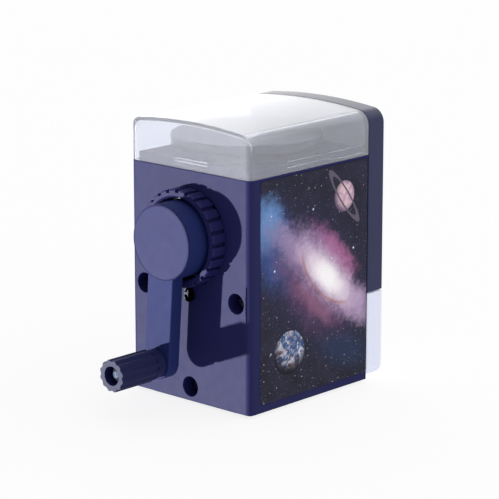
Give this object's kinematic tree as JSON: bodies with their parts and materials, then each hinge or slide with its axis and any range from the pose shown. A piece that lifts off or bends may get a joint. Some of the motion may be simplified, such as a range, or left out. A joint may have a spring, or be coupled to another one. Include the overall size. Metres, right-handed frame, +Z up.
{
  "type": "pencil sharpener",
  "caption": "Hand-crank desktop pencil sharpener: boxed shell, clear lift-off lid over a round pot, sprung pencil carriage, and shavings drawer.",
  "frame": {"origin": "middle of the footprint, on the surface that the sharpener stands on", "axes": "+Z up, +Y out of the face that the pencil goes into, the crank on the -Y face, +X to the right when looking along +Y"},
  "size_m": [0.066, 0.13, 0.1165],
  "materials": {
    "navy_abs": "moulded ABS, fine satin",
    "gloss_navy_abs": "moulded ABS, glossy",
    "grey_abs": "moulded ABS, matte",
    "black_rubber": "matte rubber",
    "printed_film": "gloss laminated print of a starry sky",
    "white_acetal": "moulded acetal",
    "brass": "turned",
    "zinc_plated_steel": "bright zinc plate",
    "spring_steel": "drawn wire",
    "hardened_steel": "ground",
    "chromed_steel": "polished chrome plate",
    "cast_zinc": "die cast, tumbled",
    "clear_polystyrene": "clear, polished tool",
    "frosted_polypropylene": "translucent, frosted"
  },
  "bodies": {
    "housing": {"outer_shell": "navy_abs", "base_pad": "black_rubber", "inner_frame": "grey_abs", "top_deck": "navy_abs", "side_print_left": "printed_film", "side_print_right": "printed_film", "gear_housing": "white_acetal", "rear_bush": "brass", "front_bush": "brass", "rod_bushes": "brass", "shell_screws": "zinc_plated_steel", "stop_screw": "zinc_plated_steel", "feed_springs": "spring_steel"},
    "lid": {"clear_lid": "clear_polystyrene"},
    "cap": {"pot_cap": "gloss_navy_abs"},
    "ring": {"lock_ring": "navy_abs"},
    "crank": {"crank_arm": "navy_abs", "hub_cap": "navy_abs", "crank_screw": "zinc_plated_steel", "cutter_carrier": "cast_zinc", "cutter_shaft": "spring_steel", "grip_pin": "chromed_steel"},
    "grip_sleeve": {"grip": "gloss_navy_abs"},
    "cutter": {"helical_cutter": "hardened_steel", "cutter_pinion": "brass"},
    "carriage": {"front_plate": "navy_abs", "carriage_back": "grey_abs", "guide_rods": "chromed_steel", "rod_clips": "spring_steel", "pencil_bezel": "chromed_steel", "rod_screws": "zinc_plated_steel"},
    "cam": {"cam_ring": "gloss_navy_abs"},
    "jaw_top": {"jaw_1": "hardened_steel"},
    "jaw_left": {"jaw_2": "hardened_steel"},
    "jaw_right": {"jaw_3": "hardened_steel"},
    "drawer_tray": {"drawer": "frosted_polypropylene"}
  },
  "joints": [
    {"name": "crank_turn", "type": "hinge", "parent": "housing", "child": "crank", "pos_m": [0, -0.0407, 0.07], "axis": [0, 1, 0], "continuous": true},
    {"name": "cutter_spin", "type": "hinge", "parent": "crank", "child": "cutter", "pos_m": [0, -0.0321, 0.076], "axis": [0, 0.9848, 0.1736], "continuous": true},
    {"name": "grip_spin", "type": "hinge", "parent": "crank", "child": "grip_sleeve", "pos_m": [-0.00341, -0.0707, 0.01992], "axis": [0, 1, 0], "continuous": true},
    {"name": "lock_ring_turn", "type": "hinge", "parent": "housing", "child": "ring", "pos_m": [0, -0.0407, 0.07], "axis": [0, 1, 0], "range_deg": [-45, 0]},
    {"name": "lid_lift", "type": "slide", "parent": "housing", "child": "lid", "axis": [0, 0, 1], "range_m": [0, 0.03]},
    {"name": "cap_turn", "type": "hinge", "parent": "housing", "child": "cap", "pos_m": [0, -0.007, 0.1], "axis": [0, 0, 1], "range_deg": [0, 40]},
    {"name": "feed_slide", "type": "slide", "parent": "housing", "child": "carriage", "axis": [0, 1, 0], "range_m": [0, 0.024], "stiffness_N_per_m": 90, "springref_m": -0.014, "deforming": ["feed_springs"]},
    {"name": "jaw_cam_turn", "type": "hinge", "parent": "carriage", "child": "cam", "pos_m": [0, 0.034, 0.07], "axis": [0, 1, 0], "range_deg": [0, 20], "stiffness_Nm_per_rad": 0.05, "springref_deg": -9.74},
    {"name": "jaw_top_slide", "type": "slide", "parent": "carriage", "child": "jaw_top", "axis": [0, 0, 1], "range_m": [0, 0.0017]},
    {"name": "jaw_left_slide", "type": "slide", "parent": "carriage", "child": "jaw_left", "axis": [-0.866, 0, -0.5], "range_m": [0, 0.0017]},
    {"name": "jaw_right_slide", "type": "slide", "parent": "carriage", "child": "jaw_right", "axis": [0.866, 0, -0.5], "range_m": [0, 0.0017]},
    {"name": "drawer_slide", "type": "slide", "parent": "housing", "child": "drawer_tray", "axis": [0, 1, 0], "range_m": [0, 0.05]}
  ],
  "couplings": [
    {"joint": "cutter_spin", "follows": "crank_turn", "ratio": -1.8571},
    {"joint": "jaw_cam_turn", "follows": "jaw_top_slide", "rad_per_m": 205.3},
    {"joint": "jaw_left_slide", "follows": "jaw_top_slide", "ratio": 1},
    {"joint": "jaw_right_slide", "follows": "jaw_top_slide", "ratio": 1}
  ]
}
